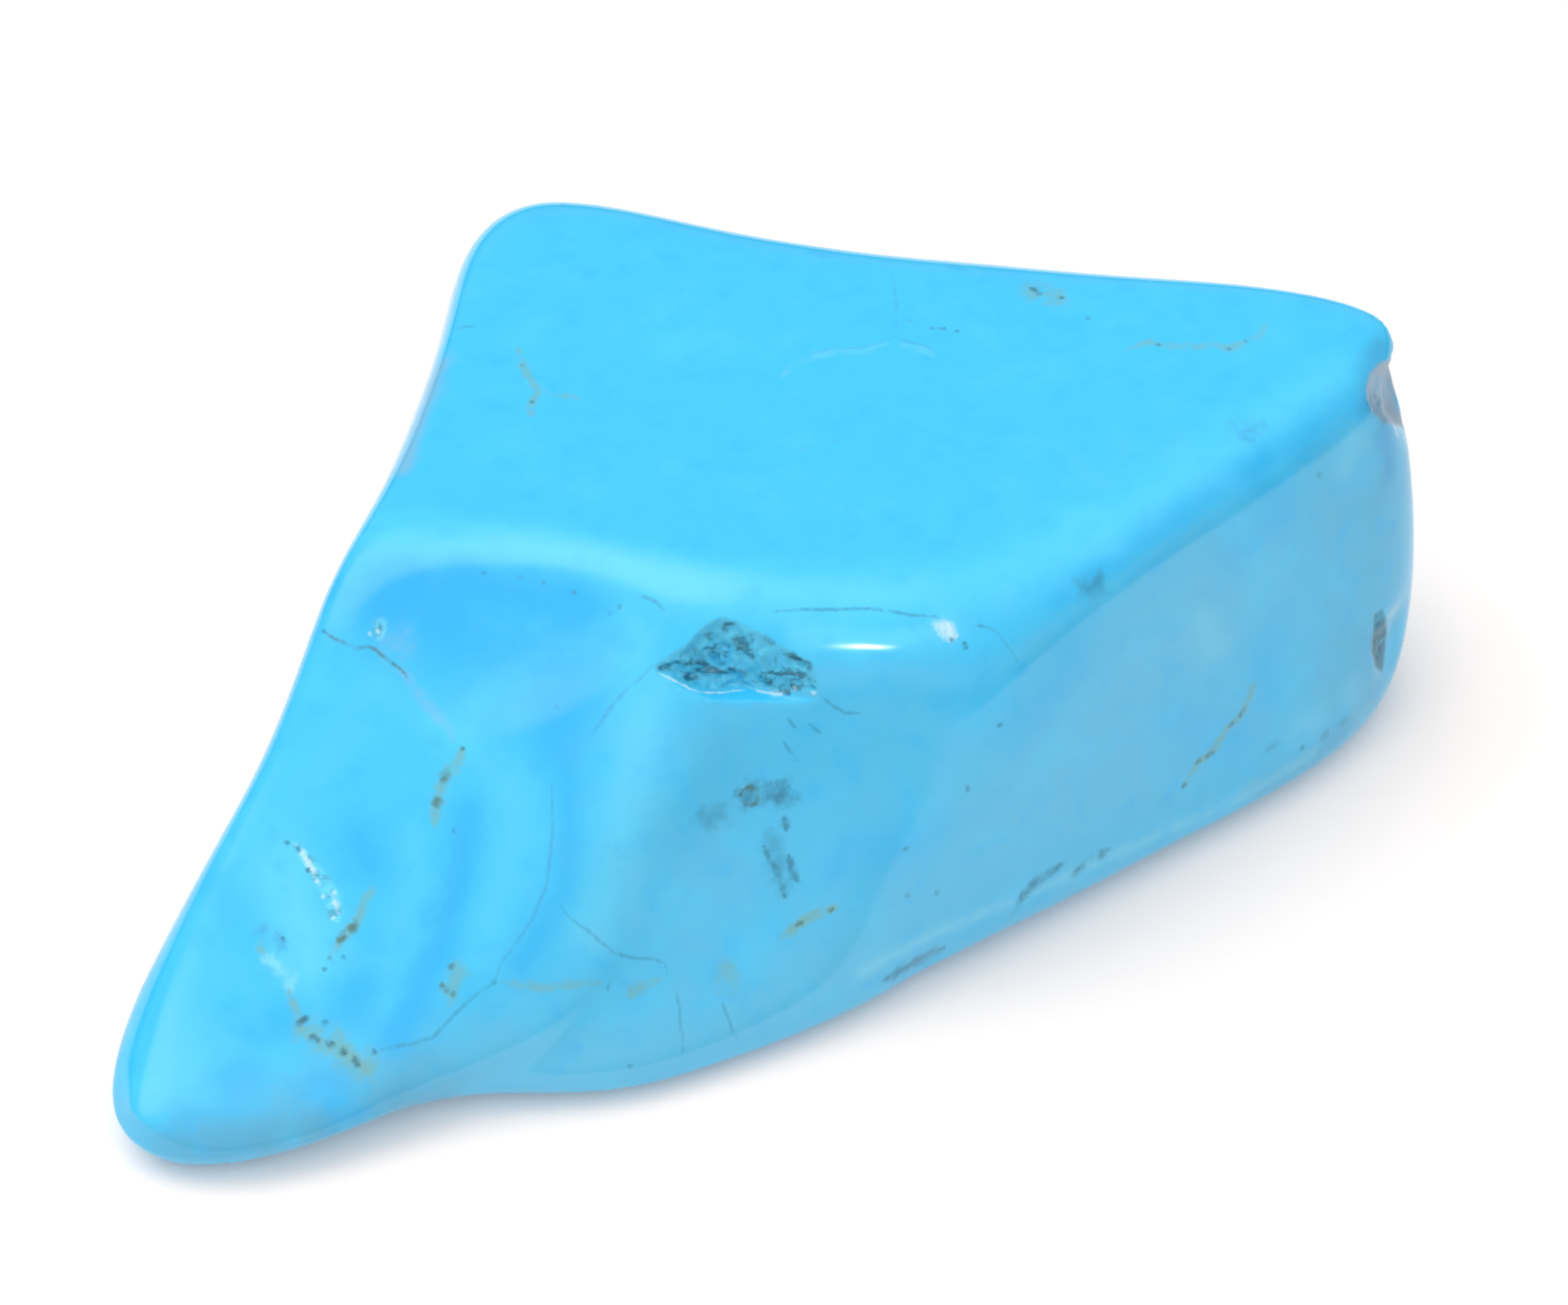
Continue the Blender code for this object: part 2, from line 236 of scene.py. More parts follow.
SOFT_MARKS = {
    "veil_under_brow": Mark("lilac", 0.14, 0.45, (
        ((410, 684), (417, 693), (424, 707), (439, 721), (457, 742), (463, 756)),)),
    "veil_by_edge_chip": Mark("lilac", 0.40, 0.45, spots((404, 656))),
    "vein_on_slope": Mark("tan", 0.15, 0.60, (
        ((472, 766), (467, 779), (455, 791), (450, 805), (446, 819), (444, 833), (443, 843)),)),
    "vein_by_fracture": Mark("tan", 0.12, 0.60, (
        ((383, 904), (373, 917), (367, 931), (361, 946), (349, 958), (342, 968), (337, 978)),)),
    "pale_streak_near_tip": Mark("pale", 0.18, 0.55, (
        ((270, 976), (281, 984), (290, 992), (296, 999), (298, 1008)),)),
    "tan_streak_near_tip": Mark("tan", 0.10, 0.60, (
        ((263, 963), (270, 977)), ((294, 1013), (302, 1029), (308, 1042)))),
    "cluster_near_tip": Mark("tan", 0.30, 0.65, (
        ((306, 1048), (316, 1056), (329, 1063), (343, 1066), (352, 1074), (362, 1083)),
        ((365, 1086), (375, 1089)))),
    "cluster_core": Mark("olive", 0.15, 0.55, (
        ((303, 1044), (312, 1053), (323, 1060), (334, 1065)),)),
    "vein_on_low_ridge": Mark("tan", 0.20, 0.50, (
        ((465, 980), (468, 993), (462, 1004), (459, 1013), (461, 1023)),)),
    # Painted shade: the darker band of a shallow groove on the slope.
    "groove_on_slope": Mark("deep", 0.24, 0.60, (
        ((468, 850), (463, 894), (457, 927), (449, 955), (437, 984), (425, 1006), (398, 1051)),)),
    "smears_near_tip": Mark("blue", 0.14, 0.55, (
        ((283, 950), (288, 962), (285, 973)), ((272, 946), (266, 952)))),
    "seam_under_facet": Mark("tan", 0.10, 0.45, (
        ((512, 1003), (560, 1008), (590, 1005), (614, 1003)),
        ((655, 1006), (667, 1003), (676, 998)))),
    "grey_patch_on_facet": Mark("teal", 0.28, 0.85, (
        ((780, 812), (794, 809), (806, 811)), ((761, 814), (767, 812)))),
    "smear_on_facet": Mark("teal", 0.24, 0.50, (((715, 838), (728, 832), (742, 831)),)),
    "haze_of_streaks": Mark("teal", 0.26, 0.40, (((786, 850), (794, 880), (802, 912)),)),
    "vein_under_facet": Mark("tan", 0.12, 0.65, (
        ((796, 960), (805, 951), (816, 943), (827, 935), (840, 931), (849, 928), (859, 924)),)),
    "faint_tan_patch": Mark("tan", 0.26, 0.40, (((739, 986), (741, 997), (747, 1005)),)),
    "tan_spot_under_facet": Mark("tan", 0.18, 0.75, spots((648, 1010))),
    "teal_chip_at_edge": Mark("teal", 0.20, 0.75, (
        ((905, 999), (923, 989), (935, 981), (948, 974), (963, 967)),)),
    "teal_arc_at_edge": Mark("teal", 0.15, 0.80, (
        ((1034, 932), (1038, 924), (1046, 912), (1054, 903), (1064, 896), (1077, 888), (1087, 880)),
        ((1094, 893), (1099, 889), (1107, 881)), ((1121, 873), (1129, 870)))),
    "vein_on_right_face": Mark("tan", 0.13, 0.60, (
        ((1279, 698), (1274, 712), (1269, 726), (1256, 740), (1246, 754), (1235, 769),
         (1223, 778), (1216, 789), (1208, 802)),)),
    "smudges_on_right_face": Mark("teal", 0.12, 0.35, (
        ((1303, 758), (1296, 765), (1286, 775)), ((1349, 752), (1356, 747)),
        ((1367, 740), (1374, 735)))),
    "white_patch_on_brow": Mark("white", 0.16, 0.75, (((959, 636), (966, 643), (972, 648)),)),
    "teal_patch_on_ridge": Mark("teal", 0.26, 0.60, (((1106, 601), (1115, 597), (1126, 593)),)),
    "blue_patch_on_ridge": Mark("blue", 0.30, 0.55, (((1266, 438), (1275, 437), (1284, 436)),)),
    "halo_on_top": Mark("tan", 0.30, 0.60, (((1046, 300), (1058, 297), (1073, 302), (1084, 305)),)),
    "vein_on_top_right": Mark("tan", 0.12, 0.50, (
        ((1145, 360), (1157, 354), (1168, 350), (1180, 349), (1196, 354), (1220, 354), (1239, 352),
         (1254, 356), (1272, 348), (1285, 344), (1293, 329)),)),
    "vein_on_top_left": Mark("tan", 0.11, 0.55, (
        ((528, 355), (533, 372), (541, 387), (550, 399), (556, 401)),
        ((550, 400), (543, 411), (540, 420), (545, 427)),
        ((560, 402), (581, 405), (600, 404)))),
    "deep_spots_at_back_rim": Mark("deep", 0.16, 0.80, (
        ((828, 259), (838, 259), (850, 261)), ((972, 273), (985, 275)))),
    "dark_of_notch": Mark("teal", 0.28, 0.85, (((1401, 407), (1409, 417), (1418, 426)),)),
    "veins_at_back": Mark("tan", 0.16, 0.65, (
        ((-4.0, 9.0, 2.0), (-2.5, 9.6, 3.6), (-1.8, 9.8, 5.2), (-0.2, 9.9, 6.4)),
        ((9.0, 10.0, 3.0), (11.0, 9.5, 4.2), (12.5, 8.5, 4.8), (13.0, 8.0, 6.0)))),
    "vein_at_left": Mark("tan", 0.14, 0.55, (
        ((-12.5, 1.5, 2.5), (-11.5, 2.4, 3.6), (-11.2, 2.8, 5.0)),)),
    "smears_at_back": Mark("teal", 0.20, 0.45, (
        ((4.0, 10.5, 4.5), (5.2, 10.5, 4.9)), ((16.5, 4.0, 3.0), (16.8, 3.0, 3.6)))),
    "swirl_on_top": Mark("pale", 0.14, 0.18, (
        ((905, 350), (879, 358), (852, 359), (827, 364), (808, 372), (798, 386)),
        ((919, 352), (944, 357), (957, 364)))),
}

FINE_MARKS = {
    "vein_from_left_edge": Mark("olive", 0.050, 0.70, (
        ((330, 644), (341, 652), (353, 657), (363, 661), (376, 660), (383, 663), (393, 671),
         (401, 677), (410, 684), (417, 693)),)),
    "line_left_of_pit": Mark("blue", 0.050, 0.60, (
        ((665, 680), (654, 692), (640, 702), (625, 720), (612, 738), (603, 752)),)),
    "line_right_of_pit": Mark("teal", 0.045, 0.50, (
        ((836, 709), (848, 719), (862, 728), (879, 728)),)),
    "arc_on_brow": Mark("teal", 0.045, 0.60, (
        ((790, 624), (821, 622), (852, 622), (885, 621), (910, 624), (930, 628), (951, 629),
         (961, 632)),
        ((652, 608), (668, 613), (679, 624)))),
    "arc_past_brow": Mark("teal", 0.040, 0.30, (
        ((990, 639), (1005, 639), (1019, 646), (1027, 658), (1039, 675), (1044, 686)),)),
    "dashes_below_pit": Mark("teal", 0.050, 0.55, (
        ((804, 734), (808, 739), (813, 744)), ((826, 739), (831, 743), (838, 749)),
        ((799, 757), (806, 766), (815, 778)))),
    "ring_on_facet": Mark("olive", 0.065, 0.80, (
        ((755, 813), (758, 806), (765, 803), (772, 807), (774, 815), (769, 822), (761, 822), (756, 817)),)),
    "streaks_on_facet": Mark("teal", 0.090, 0.80, (
        ((779, 864), (785, 875), (790, 884), (796, 899), (801, 917)),
        ((799, 834), (801, 840), (803, 848)), ((805, 873), (808, 888), (814, 901)))),
    "cores_of_streaks": Mark("dark", 0.070, 0.50, (((791, 886), (795, 897), (799, 908)),)),
    "line_on_slope": Mark("blue", 0.045, 0.55, (
        ((563, 800), (564, 850), (558, 903), (545, 935), (525, 965), (512, 982), (504, 1003)),)),
    "line_under_slope": Mark("teal", 0.050, 0.48, (
        ((504, 1003), (486, 1015), (461, 1038), (443, 1058), (424, 1065), (398, 1069), (382, 1073),
         (369, 1077)),)),
    "crack_under_facet": Mark("teal", 0.045, 0.45, (
        ((571, 923), (582, 938), (599, 949), (614, 962), (627, 973), (647, 978), (668, 979),
         (679, 984), (682, 997)),)),
    "cracks_to_the_ground": Mark("teal", 0.045, 0.40, (
        ((690, 1012), (693, 1027), (694, 1045), (697, 1060), (696, 1077)),
        ((737, 1023), (744, 1042), (752, 1062)), ((621, 1003), (620, 1012)))),
    "crack_on_top": Mark("blue", 0.045, 0.50, (
        ((912, 267), (911, 278), (913, 297), (915, 316), (915, 340)),
        ((915, 342), (923, 348), (944, 353), (955, 359)),
        ((912, 344), (907, 347), (879, 355), (852, 356), (827, 361), (808, 368), (796, 382)))),
    "smear_at_left_rim": Mark("teal", 0.060, 0.55, (((464, 335), (474, 334), (485, 333)),)),
    "dashes_on_top": Mark("blue", 0.045, 0.45, (
        ((805, 463), (830, 455)), ((845, 451), (860, 449)), ((940, 440), (950, 437)),
        ((926, 327), (934, 329)))),
    "dots_on_top": Mark("teal", 0.060, 0.80, spots(
        (951, 335), (963, 335), (977, 338), (533, 372), (1110, 325), (1254, 356))),
    "dark_dots_on_top": Mark("dark", 0.070, 0.70, spots(
        (543, 410), (1182, 352), (1272, 348), (1083, 304))),
    "core_on_top": Mark("dark", 0.100, 0.75, (((1052, 294), (1058, 297), (1063, 301)),)),
    "dots_in_scoop": Mark("teal", 0.065, 0.60, spots(
        (554, 595), (531, 589), (586, 604), (568, 722), (494, 585), (622, 626), (632, 619))),
    "dots_in_edge_vein": Mark("dark", 0.060, 0.70, spots((330, 644), (363, 661), (401, 677))),
    "dots_on_brow": Mark("dark", 0.065, 0.75, spots((971, 653), (985, 657), (986, 661))),
    "small_dots_on_brow": Mark("teal", 0.050, 0.70, spots(
        (821, 622), (885, 621), (955, 629), (1001, 639))),
    "cores_on_slope": Mark("olive", 0.120, 0.80, (
        ((456, 789), (451, 797)), ((446, 817), (445, 822)), ((362, 944), (357, 950)),
        ((351, 956), (346, 960)))),
    "dots_on_slope": Mark("dark", 0.065, 0.70, spots(
        (472, 764), (463, 848), (336, 978), (350, 977), (331, 989), (289, 958), (340, 984))),
    "cores_near_tip": Mark("dark", 0.090, 0.75, (
        ((311, 1039), (308, 1044)), ((318, 1058), (325, 1063)), ((331, 1043), (332, 1046)),
        ((334, 1064), (340, 1065)), ((362, 1081), (365, 1089)), ((350, 1073), (352, 1075)))),
    "cores_on_low_ridge": Mark("olive", 0.080, 0.80, spots(
        (460, 986), (451, 1006), (457, 1011), (462, 1014))),
    "dots_under_slope": Mark("dark", 0.070, 0.70, spots((504, 1003), (382, 1073), (643, 1088))),
    "cores_on_right_face": Mark("dark", 0.075, 0.55, (
        ((1270, 723), (1264, 732)), ((1258, 738), (1254, 743)), ((1238, 768), (1230, 773)),
        ((1225, 775), (1220, 781)), ((1209, 800), (1206, 804)))),
    "dots_on_right_face": Mark("teal", 0.080, 0.75, spots(
        (1346, 484), (987, 805), (924, 867), (926, 914), (956, 911), (1329, 763), (1021, 740))),
    "cores_under_facet": Mark("olive", 0.060, 0.75, (
        ((812, 945), (820, 940)), ((846, 930), (851, 927)))),
    "darks_of_fracture": Mark("dark", 0.070, 0.80, (
        ((303, 864), (307, 870)), ((293, 860),), ((315, 888), (316, 890)))),
    # Painted glints: a white streak of sparkle along the fracture.
    "painted_glints_along_fracture": Mark("white", 0.075, 0.65, (
        ((302, 862), (310, 872), (318, 886), (324, 897)), ((335, 912), (342, 922), (345, 932)))),
    "glints_of_fracture": Mark("white", 0.050, 0.80, spots(
        (311, 877), (314, 882), (321, 895), (323, 899), (327, 903), (341, 911), (330, 915), (340, 937))),
    "glints_of_edge_chip": Mark("white", 0.050, 0.60, (
        ((384, 641), (387, 647)), ((377, 646), (378, 649)))),
    "dark_of_edge_chip": Mark("dark", 0.070, 0.75, (((388, 636), (389, 643)),)),
    # Painted highlight: the polished lip below the pit catching light.
    "highlight_on_lip_of_pit": Mark("white", 0.045, 0.70, (
        ((672, 687), (691, 696), (706, 704), (720, 707), (734, 707), (749, 705), (762, 704)),
        ((772, 705), (784, 707), (799, 709)))),
    "glints_of_pit": Mark("white", 0.060, 0.70, spots(
        (732, 658), (770, 657), (811, 703), (830, 707), (727, 686))),
    # Painted shadows cast by the broken steps in the pit.
    "step_shadows_in_pit": Mark("dark", 0.100, 0.90, (
        ((722, 648), (728, 652)), ((739, 641), (743, 643)), ((744, 683), (756, 687), (768, 689)),
        ((772, 690), (782, 696), (790, 701)), ((786, 673), (793, 678)), ((804, 668), (812, 672)),
        ((822, 678), (827, 682)), ((796, 703), (806, 707)))),
    "lines_at_back": Mark("teal", 0.050, 0.60, (
        ((-7.0, 7.0, 6.0), (-5.0, 8.5, 5.2), (-2.0, 9.8, 5.4), (1.0, 10.5, 4.6), (3.0, 10.8, 4.4)),
        ((12.5, 8.5, 4.8), (14.0, 7.5, 3.4), (15.5, 6.0, 2.8)),
        ((-14.0, 0.0, 3.0), (-12.5, 1.5, 2.5), (-11.0, 3.0, 1.2)))),
    "dots_at_back": Mark("dark", 0.080, 0.70, spots(
        (-1.8, 9.8, 5.2), (-3.0, 9.4, 3.0), (11.0, 9.5, 4.2), (7.0, 10.0, 6.5), (-9.0, 5.0, 4.5),
        (-11.5, 2.4, 3.6), (15.0, 6.5, 6.0))),
    "dots_underneath": Mark("dark", 0.080, 0.60, spots(
        (-8.0, -2.0, 0.0), (3.0, 1.0, 0.0), (9.0, -1.0, 0.0), (0.0, 4.0, 0.0))),
    "crack_underneath": Mark("teal", 0.050, 0.50, (
        ((-6.0, -1.0, 0.0), (-2.0, 0.5, 0.0), (2.0, 0.2, 0.0), (5.0, 1.6, 0.0)),)),
    "shades_of_pit": Mark("teal", 0.110, 0.70, (
        ((676, 681), (688, 682)), ((700, 668), (712, 664)), ((713, 677), (722, 668)),
        ((778, 652), (790, 657)), ((797, 682), (810, 690)), ((700, 690), (712, 694)))),
}


class Layer(NamedTuple):
    """A layer of marks, and what their edges are like."""
    marks: dict
    rag: float              # mm, the size of the rags along an edge
    raggedness: float       # widths that the rags reach
    softness: float         # widths over which an edge fades, to either side


LAYERS = {
    "soft": Layer(SOFT_MARKS, 0.28, 3.2, 1.0),
    "fine": Layer(FINE_MARKS, 0.14, 2.2, 0.85),
}


# Broad soft washes under the marks, painted one over the other in this order; many are painted shade,
# highlights or reflections.
WASHES = {
    "milky_right_face": Mark("milky", 2.6, 0.58, (
        ((1080, 800), (1150, 690), (1230, 620)), ((930, 900), (1060, 830), (1200, 760)))),
    # Painted shade: a duller milky blue along the low band near the ground.
    "milky_painted_shade_under_facet": Mark("milky", 1.4, 0.80, (
        ((330, 1140), (480, 1100), (600, 1085), (720, 1060), (870, 985)),)),
    "shade_under_tip": Mark("shade", 0.9, 0.80, (((200, 1170), (330, 1150), (430, 1125)),)),
    "shade_at_right_end": Mark("shade", 1.2, 0.45, (((1400, 700), (1415, 600), (1420, 500)),)),
    "shade_on_right_face": Mark("shade", 1.3, 0.30, (((1360, 500), (1385, 590), (1370, 680)),)),
    "shade_at_low_right": Mark("shade", 0.5, 0.55, (((1290, 806), (1350, 768), (1398, 716)),)),
    # The scoop is painted a deeper blue: partly its own tone, partly painted shade of the hollow.
    "deep_blue_and_shade_in_scoop": Mark("rich", 1.5, 0.95, (
        ((400, 612), (450, 590), (520, 590), (580, 625), (560, 690), (500, 650), (450, 630)),)),
    "deep_blue_and_shade_right_of_scoop": Mark("rich", 0.5, 0.40, (((594, 636), (592, 670), (572, 706)),)),
    "deep_blue_and_shade_top_of_scoop": Mark("rich", 0.6, 0.80, (((400, 592), (470, 580), (540, 588), (600, 612)),)),
    "rich_under_ridge": Mark("rich", 0.4, 0.55, (
        ((1080, 610), (1150, 560), (1230, 508), (1310, 462), (1380, 412)),)),
    # Painted shade: the front facet is darkened with the side blue.
    "side_shade_on_facet": Mark("side", 1.2, 0.80, (((700, 770), (705, 850), (720, 940)), ((760, 800), (780, 900)))),
    "shade_on_facet": Mark("shade", 0.8, 0.20, (((740, 760), (735, 810), (720, 850)),)),
    "rich_right_face": Mark("rich", 0.8, 0.30, (
        ((1280, 470), (1310, 520), (1260, 560)), ((1000, 705), (1051, 736), (1099, 665)),
        ((1197, 733), (1255, 764)), ((1290, 660), (1296, 700)), ((940, 850), (870, 880)))),
    "blue_below_notch": Mark("blue", 0.32, 0.65, (((1411, 442), (1416, 462), (1418, 482)),)),
    # Painted shade on the shaded side of the ridge beside the notch.
    "shade_at_edge_of_notch": Mark("blue", 0.26, 0.60, (((1408, 352), (1398, 370), (1391, 396), (1393, 418)),)),
    # Painted highlights: brighter bands along the rounded rims of the brow and the right ridge.
    "brow": Mark("clear", 0.75, 0.85, (
        ((400, 545), (470, 548), (560, 560), (640, 582), (740, 606), (850, 612), (960, 606),
         (1040, 580), (1120, 538)),)),
    "painted_highlight_on_right_ridge": Mark("clear", 0.60, 0.75, (
        ((1100, 552), (1160, 515), (1230, 468), (1300, 424), (1370, 380)),)),
    "glow_on_brow": Mark("bright", 0.30, 0.60, (((815, 645), (870, 655), (930, 650), (960, 642)),)),
    # Painted highlight along the convex ridge of the slope.
    "painted_highlight_on_ridge_of_slope": Mark("bright", 0.75, 0.65, (
        ((660, 716), (650, 770), (636, 830), (628, 890), (606, 950)),)),
    "band_between_lines": Mark("clear", 0.60, 0.60, (((520, 800), (522, 860), (508, 920), (490, 970)),)),
    "rich_right_of_line": Mark("rich", 0.35, 0.60, (
        ((578, 790), (582, 850), (577, 900), (558, 945), (530, 985)),)),
    # painted shade along the same groove
    "deep_blue_and_shade_of_groove": Mark("rich", 0.40, 0.75, (
        ((478, 830), (474, 890), (460, 945), (442, 990), (420, 1030), (400, 1060)),)),
    "left_of_groove": Mark("clear", 0.45, 0.55, (((420, 862), (424, 900), (405, 960), (385, 1020)),)),
    "glow_left_of_fracture": Mark("bright", 0.75, 0.75, (
        ((285, 880), (296, 915), (310, 950), (318, 985)),)),
    "rich_spots_on_slope": Mark("rich", 0.60, 0.70, (
        ((367, 855), (376, 880)), ((282, 1043), (262, 1050)), ((369, 1009), (360, 1025)),
        ((247, 1094), (230, 1104)), ((226, 915), (232, 930)), ((571, 719), (560, 750)),
        ((330, 1115), (345, 1120)))),
    "left_slope": Mark("clear", 0.90, 0.35, (((390, 700), (330, 770), (270, 860), (215, 960)),)),
    "scoop_edge": Mark("clear", 0.30, 0.50, (
        ((636, 622), (656, 650), (650, 690)), ((440, 735), (500, 775)))),
    # Painted reflection: a grey band along the lip of the left rim.
    "grey_reflection_at_left_rim": Mark("grey", 0.24, 0.50, (((450, 372), (436, 410), (425, 440), (412, 480)),)),
    # Painted reflection of the pale floor along the low rim.
    "floor_reflection_on_low_rim": Mark("pale", 0.20, 0.28, (
        ((880, 992), (960, 950), (1060, 908), (1160, 862), (1260, 818), (1340, 770)),)),
    "milky_at_back": Mark("milky", 2.4, 0.60, (
        ((-8.0, 6.0, 3.0), (-2.0, 9.0, 4.0)), ((10.0, 9.0, 3.0), (15.0, 5.0, 4.0)))),
    "rich_at_back": Mark("rich", 1.3, 0.60, (
        ((2.0, 10.0, 5.0), (6.0, 10.0, 3.0)), ((-12.0, 1.0, 4.0), (-9.0, 4.0, 3.0)))),
    "clear_at_back": Mark("clear", 1.0, 0.50, (((-5.0, 8.0, 8.0), (3.0, 10.0, 8.5), (10.0, 10.0, 8.5)),)),
    "milky_underneath": Mark("milky", 2.0, 0.60, (
        ((-10.0, -3.0, 0.5), (-4.0, -4.0, 0.5)), ((6.0, 2.0, 0.0), (12.0, 3.0, 0.0)))),
    "pale_spots_on_right_face": Mark("pale", 0.50, 0.18, (
        ((1380, 450), (1370, 480)), ((1238, 661), (1226, 640)), ((1379, 706), (1392, 726)),
        ((1329, 743), (1345, 735)))),
}


class Break(NamedTuple):
    """A place where the polished skin is broken out."""
    depth: float            # mm below the skin
    wall: float             # mm, how far its walls slope in
    ledges: float           # mm, how high its floor is broken into ledges
    paint: str              # the colour of its floor
    # how strongly dark flecks of painted crevice shade show on its floor
    crevice_shade: float           # how strongly dark specks show on it
    reach: float            # mm from its middle that it fills, also round the stone's edge
    outline: tuple          # picture places


BREAKS = {
    "pit_on_ridge": Break(0.10, 0.16, 0.16, "pit", 0.75, 4.0, (
        (665, 680), (679, 672), (699, 660), (713, 644), (727, 633), (740, 630), (756, 636),
        (774, 645), (788, 655), (800, 661), (813, 669), (827, 677), (834, 694), (836, 707),
        (812, 706), (797, 708), (784, 706), (772, 704), (759, 703), (734, 706), (720, 706),
        (706, 702), (691, 695))),
    "fracture_near_tip": Break(0.05, 0.12, 0.14, "bright", 0.40, 2.2, (
        (298, 858), (306, 860), (316, 872), (330, 888), (345, 908), (351, 930), (346, 942),
        (337, 938), (330, 916), (316, 892), (303, 872))),
    # Its floor is painted the grey of a reflective glint: painted reflection.
    "notch_at_right_end": Break(0.14, 0.30, 0.02, "grey", 0.0, 2.2, (
        (1394, 396), (1398, 380), (1409, 370), (1438, 360), (1440, 440), (1412, 430), (1400, 420),
        (1395, 408))),
    # Painted shade: the small recess is painted darker than its shallow sinking would make it.
    "recess_at_right_end": Break(0.08, 0.12, 0.06, "pocket", 0.60, 1.3, (
        (1400, 646), (1402, 626), (1411, 621), (1415, 640), (1413, 668), (1410, 686), (1403, 680),
        (1399, 664))),
    "chip_at_left_edge": Break(0.05, 0.06, 0.05, "bright", 0.30, 0.7, (
        (383, 632), (391, 629), (395, 638), (391, 650), (384, 653), (380, 643))),
}


# ---------------------------------------------------------------- the stone's surface

def cad_quads():
    """The CAD solid as a bmesh of quads without its sole, in metres."""
    bm = bmesh.new()
    bm.from_mesh(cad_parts["nugget"].data)
    bmesh.ops.remove_doubles(bm, verts=bm.verts[:], dist=WELD * MM)
    sole = [face for face in bm.faces if max(v.co.z for v in face.verts) < SOLE_HEIGHT * MM]
    bmesh.ops.delete(bm, geom=sole, context="FACES")
    bmesh.ops.join_triangles(
        bm, faces=bm.faces[:], angle_face_threshold=QUAD_BEND, angle_shape_threshold=QUAD_SKEW)
    return bm


def subdivided(bm, levels):
    """The subdivision surface of a bmesh, as a new bmesh."""
    mesh = bpy.data.meshes.new("coarse")
    bm.to_mesh(mesh)
    bm.free()
    source = bpy.data.objects.new("coarse", mesh)
    bpy.context.scene.collection.objects.link(source)
    modifier = source.modifiers.new("smooth", "SUBSURF")
    modifier.levels = levels
    modifier.render_levels = levels
    evaluated = source.evaluated_get(bpy.context.evaluated_depsgraph_get())
    result = bmesh.new()
    result.from_mesh(evaluated.to_mesh())
    evaluated.to_mesh_clear()
    bpy.data.objects.remove(source)
    bpy.data.meshes.remove(mesh)
    return result


def close_sole(bm):
    """Put the open bottom rim on the ground and close it with one flat face."""
    rim = [edge for edge in bm.edges if edge.is_boundary]
    for edge in rim:
        for vertex in edge.verts:
            vertex.co.z = 0.0
    bmesh.ops.contextual_create(bm, geom=rim)


def refine(bm, faces):
    """Cut the edges of some faces, but none that is short already."""
    edges = {edge for face in faces for edge in face.edges if edge.calc_length() > FINE_EDGE * MM}
    bmesh.ops.subdivide_edges(bm, edges=list(edges), cuts=FINE_CUTS, use_grid_fill=True)
    bm.verts.index_update()
    bm.normal_update()


def search_tree(places):
    """A tree to find the numbers of places near a point."""
    tree = KDTree(len(places))
    for index, place in enumerate(places):
        tree.insert(place, index)
    tree.balance()
    return tree


# ---------------------------------------------------------------- routes on the surface

def on_surface(surface, place):
    """The point of the stone at a picture place, or the nearest one to a place in mm."""
    if len(place) == 2:
        return surface.ray_cast(*picture_ray(*place))[0]
    return surface.find_nearest(Vector(place) * MM)[0]


def route_points(surface, route):
    """Closely spaced points of the stone along a route."""
    places = [Vector(place) for place in route]
    points = []
    if len(places) == 1:
        points.append(on_surface(surface, places[0]))
    for start, end in zip(places, places[1:]):
        scale = PIXEL if len(start) == 2 else 1.0
        count = max(1, round((end - start).length * scale / ROUTE_STEP))
        points += [on_surface(surface, start.lerp(end, index / count)) for index in range(count)]
    return [point for point in points if point]


class Trace(NamedTuple):
    """One point of a mark on the stone."""
    point: Vector
    width: float            # metres
    strength: float
    paint: tuple


def taper(index, count):
    """How wide a route is at one of its points, as a share of its full width."""
    if count == 1:
        return 1.0
    share = (index + 0.5) / count
    return min(1.0, LINE_END + LINE_TAPER * min(share, 1.0 - share))


def traces(surface, marks):
    """All points of a group of marks; lines grow thinner towards their ends."""
    found = []
    for mark in marks.values():
        for route in mark.routes:
            points = route_points(surface, route)
            for index, point in enumerate(points):
                width = mark.width * MM * taper(index, len(points))
                found.append(Trace(point, width, mark.strength, PAINTS[mark.paint]))
    return found


def blend(colours, paint, share):
    """Colours with a paint laid over each by its own share."""
    return colours + (np.array(PAINTS[paint]) - colours) * share[:, np.newaxis]


def wash_share(surface, places, stretch, mark):
    """How strongly a wash shows at each place; stretch makes it fade unevenly."""
    share = np.zeros(len(places))
    width = mark.width * MM
    for route in mark.routes:
        points = np.array(route_points(surface, route))
        low = points.min(axis=0) - WASH_REACH * width
        high = points.max(axis=0) + WASH_REACH * width
        near = np.flatnonzero(np.all((places > low) & (places < high), axis=1))
        tree = search_tree(points)
        distance = np.array([tree.find(places[index])[2] for index in near]) * stretch[near]
        share[near] = np.maximum(share[near], mark.strength * np.exp(-(distance / width) ** 2))
    return share


